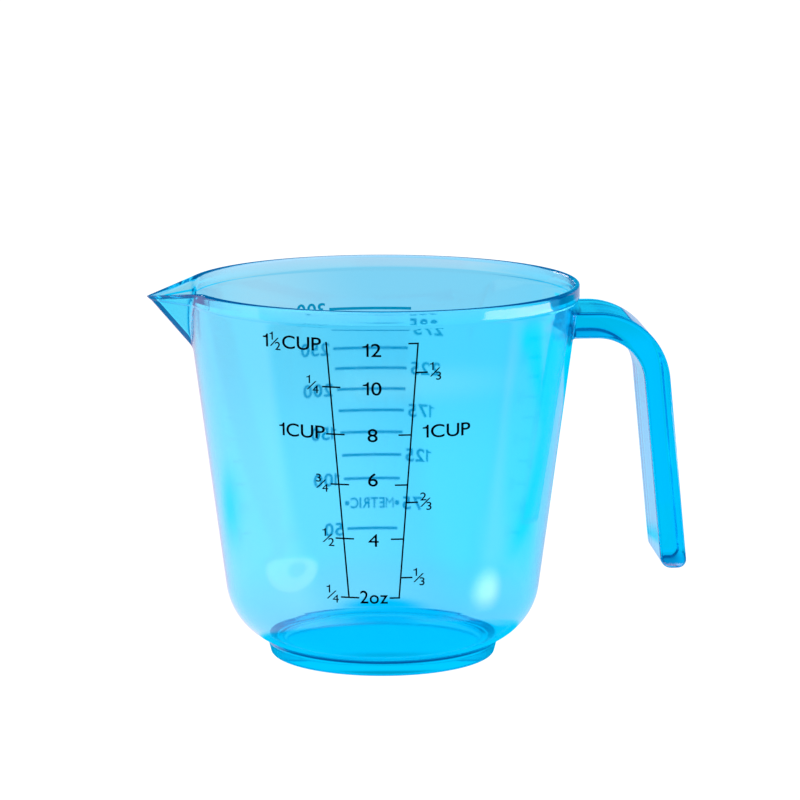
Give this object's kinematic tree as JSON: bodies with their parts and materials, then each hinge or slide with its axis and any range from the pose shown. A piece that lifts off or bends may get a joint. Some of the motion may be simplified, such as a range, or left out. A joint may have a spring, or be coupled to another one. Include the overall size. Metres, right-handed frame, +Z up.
{
  "type": "measuring cup",
  "caption": "Clear blue plastic measuring cup with a V-shaped spout, a solid hook handle, a foot ring and printed volume scales.",
  "frame": {"origin": "on the table under the cup, midway between the spout's tip and the back of the handle", "axes": "+X towards the handle, -X towards the spout, -Y towards the ounce scale, +Z up"},
  "size_m": [0.1256, 0.0918, 0.088],
  "materials": {
    "tinted_plastic": "clear, high gloss",
    "ounce_ink": "matte black-blue pad print",
    "metric_ink": "matte blue pad print"
  },
  "bodies": {
    "root": {"bowl_wall": "tinted_plastic", "bowl_base": "tinted_plastic", "rim_band": "tinted_plastic", "pouring_spout": "tinted_plastic", "handle": "tinted_plastic", "foot_ring": "tinted_plastic", "ounce_line_left": "ounce_ink", "cup_line_right": "ounce_ink", "metric_mark_050": "metric_ink", "metric_mark_100": "metric_ink", "metric_mark_125": "metric_ink", "metric_mark_150": "metric_ink", "metric_mark_175": "metric_ink", "metric_mark_200": "metric_ink", "metric_mark_225": "metric_ink", "metric_mark_250": "metric_ink", "metric_mark_275": "metric_ink", "metric_mark_300": "metric_ink"}
  },
  "joints": []
}
